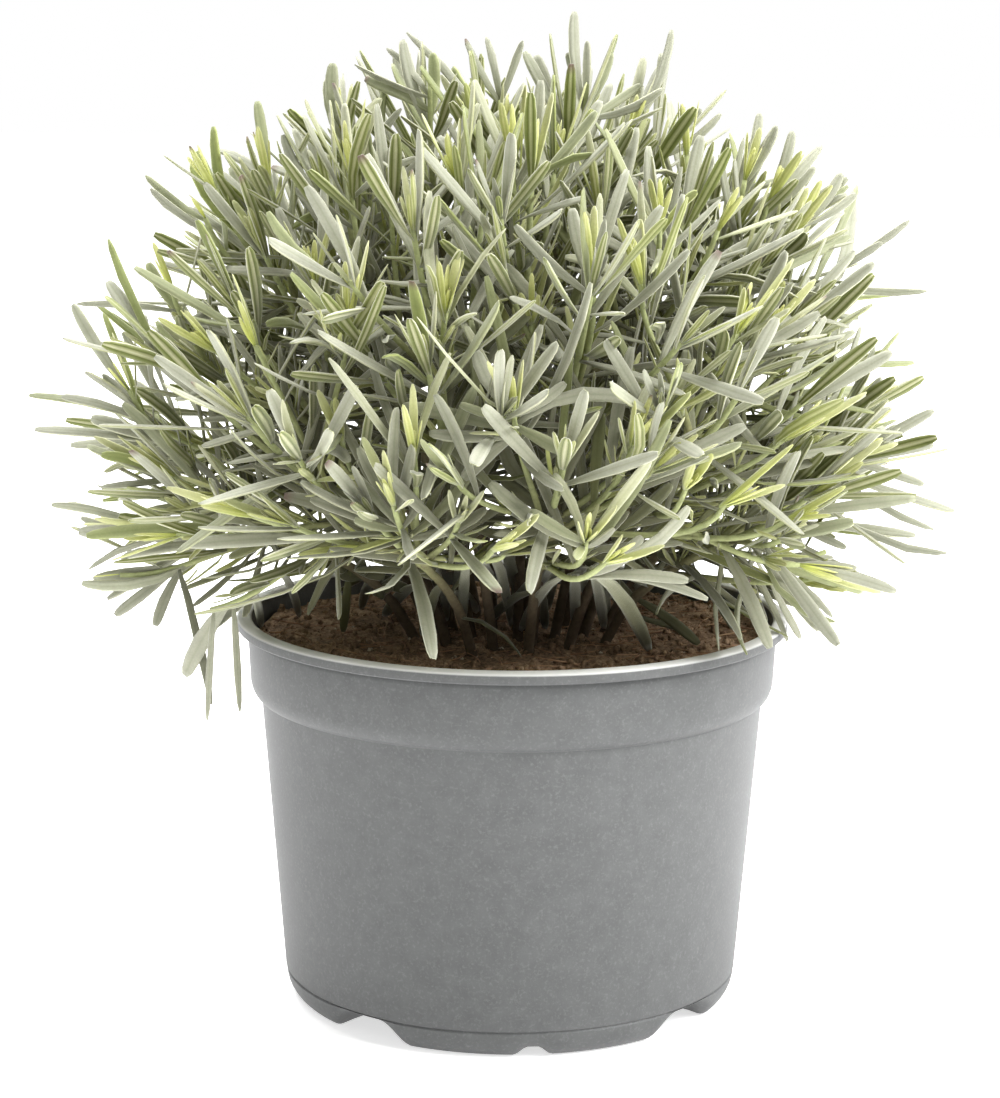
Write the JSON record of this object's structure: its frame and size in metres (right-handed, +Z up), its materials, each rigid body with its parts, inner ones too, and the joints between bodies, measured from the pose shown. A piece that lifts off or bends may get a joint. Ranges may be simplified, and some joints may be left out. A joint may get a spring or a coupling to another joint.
{
  "type": "potted lavender plant",
  "caption": "Round grey nursery pot on feet, filled with peat, with a dome of leafy lavender stems whose narrow silver-green leaves stand out all round.",
  "frame": {"origin": "on the pot's axis, in the plane that its feet stand on", "axes": "+Z up along the pot's axis, -Y to the front of the picture, +X to its right"},
  "size_m": [0.3011, 0.3094, 0.3321],
  "materials": {
    "pot_plastic": "satin",
    "peat": "matte",
    "lavender_leaf": "matte"
  },
  "bodies": {
    "root": {"pot": "pot_plastic", "soil": "peat", "leafy_stem_01": "lavender_leaf", "leafy_stem_02": "lavender_leaf", "leafy_stem_03": "lavender_leaf", "leafy_stem_04": "lavender_leaf", "leafy_stem_05": "lavender_leaf", "leafy_stem_06": "lavender_leaf", "leafy_stem_07": "lavender_leaf", "leafy_stem_08": "lavender_leaf", "leafy_stem_09": "lavender_leaf", "leafy_stem_10": "lavender_leaf", "leafy_stem_11": "lavender_leaf", "leafy_stem_12": "lavender_leaf", "leafy_stem_13": "lavender_leaf", "leafy_stem_14": "lavender_leaf", "leafy_stem_15": "lavender_leaf", "leafy_stem_16": "lavender_leaf", "leafy_stem_17": "lavender_leaf", "leafy_stem_18": "lavender_leaf", "leafy_stem_19": "lavender_leaf", "leafy_stem_20": "lavender_leaf", "leafy_stem_21": "lavender_leaf", "leafy_stem_22": "lavender_leaf", "leafy_stem_23": "lavender_leaf", "leafy_stem_24": "lavender_leaf", "leafy_stem_25": "lavender_leaf", "leafy_stem_26": "lavender_leaf", "leafy_stem_27": "lavender_leaf", "leafy_stem_28": "lavender_leaf", "leafy_stem_29": "lavender_leaf", "leafy_stem_30": "lavender_leaf"}
  },
  "joints": []
}
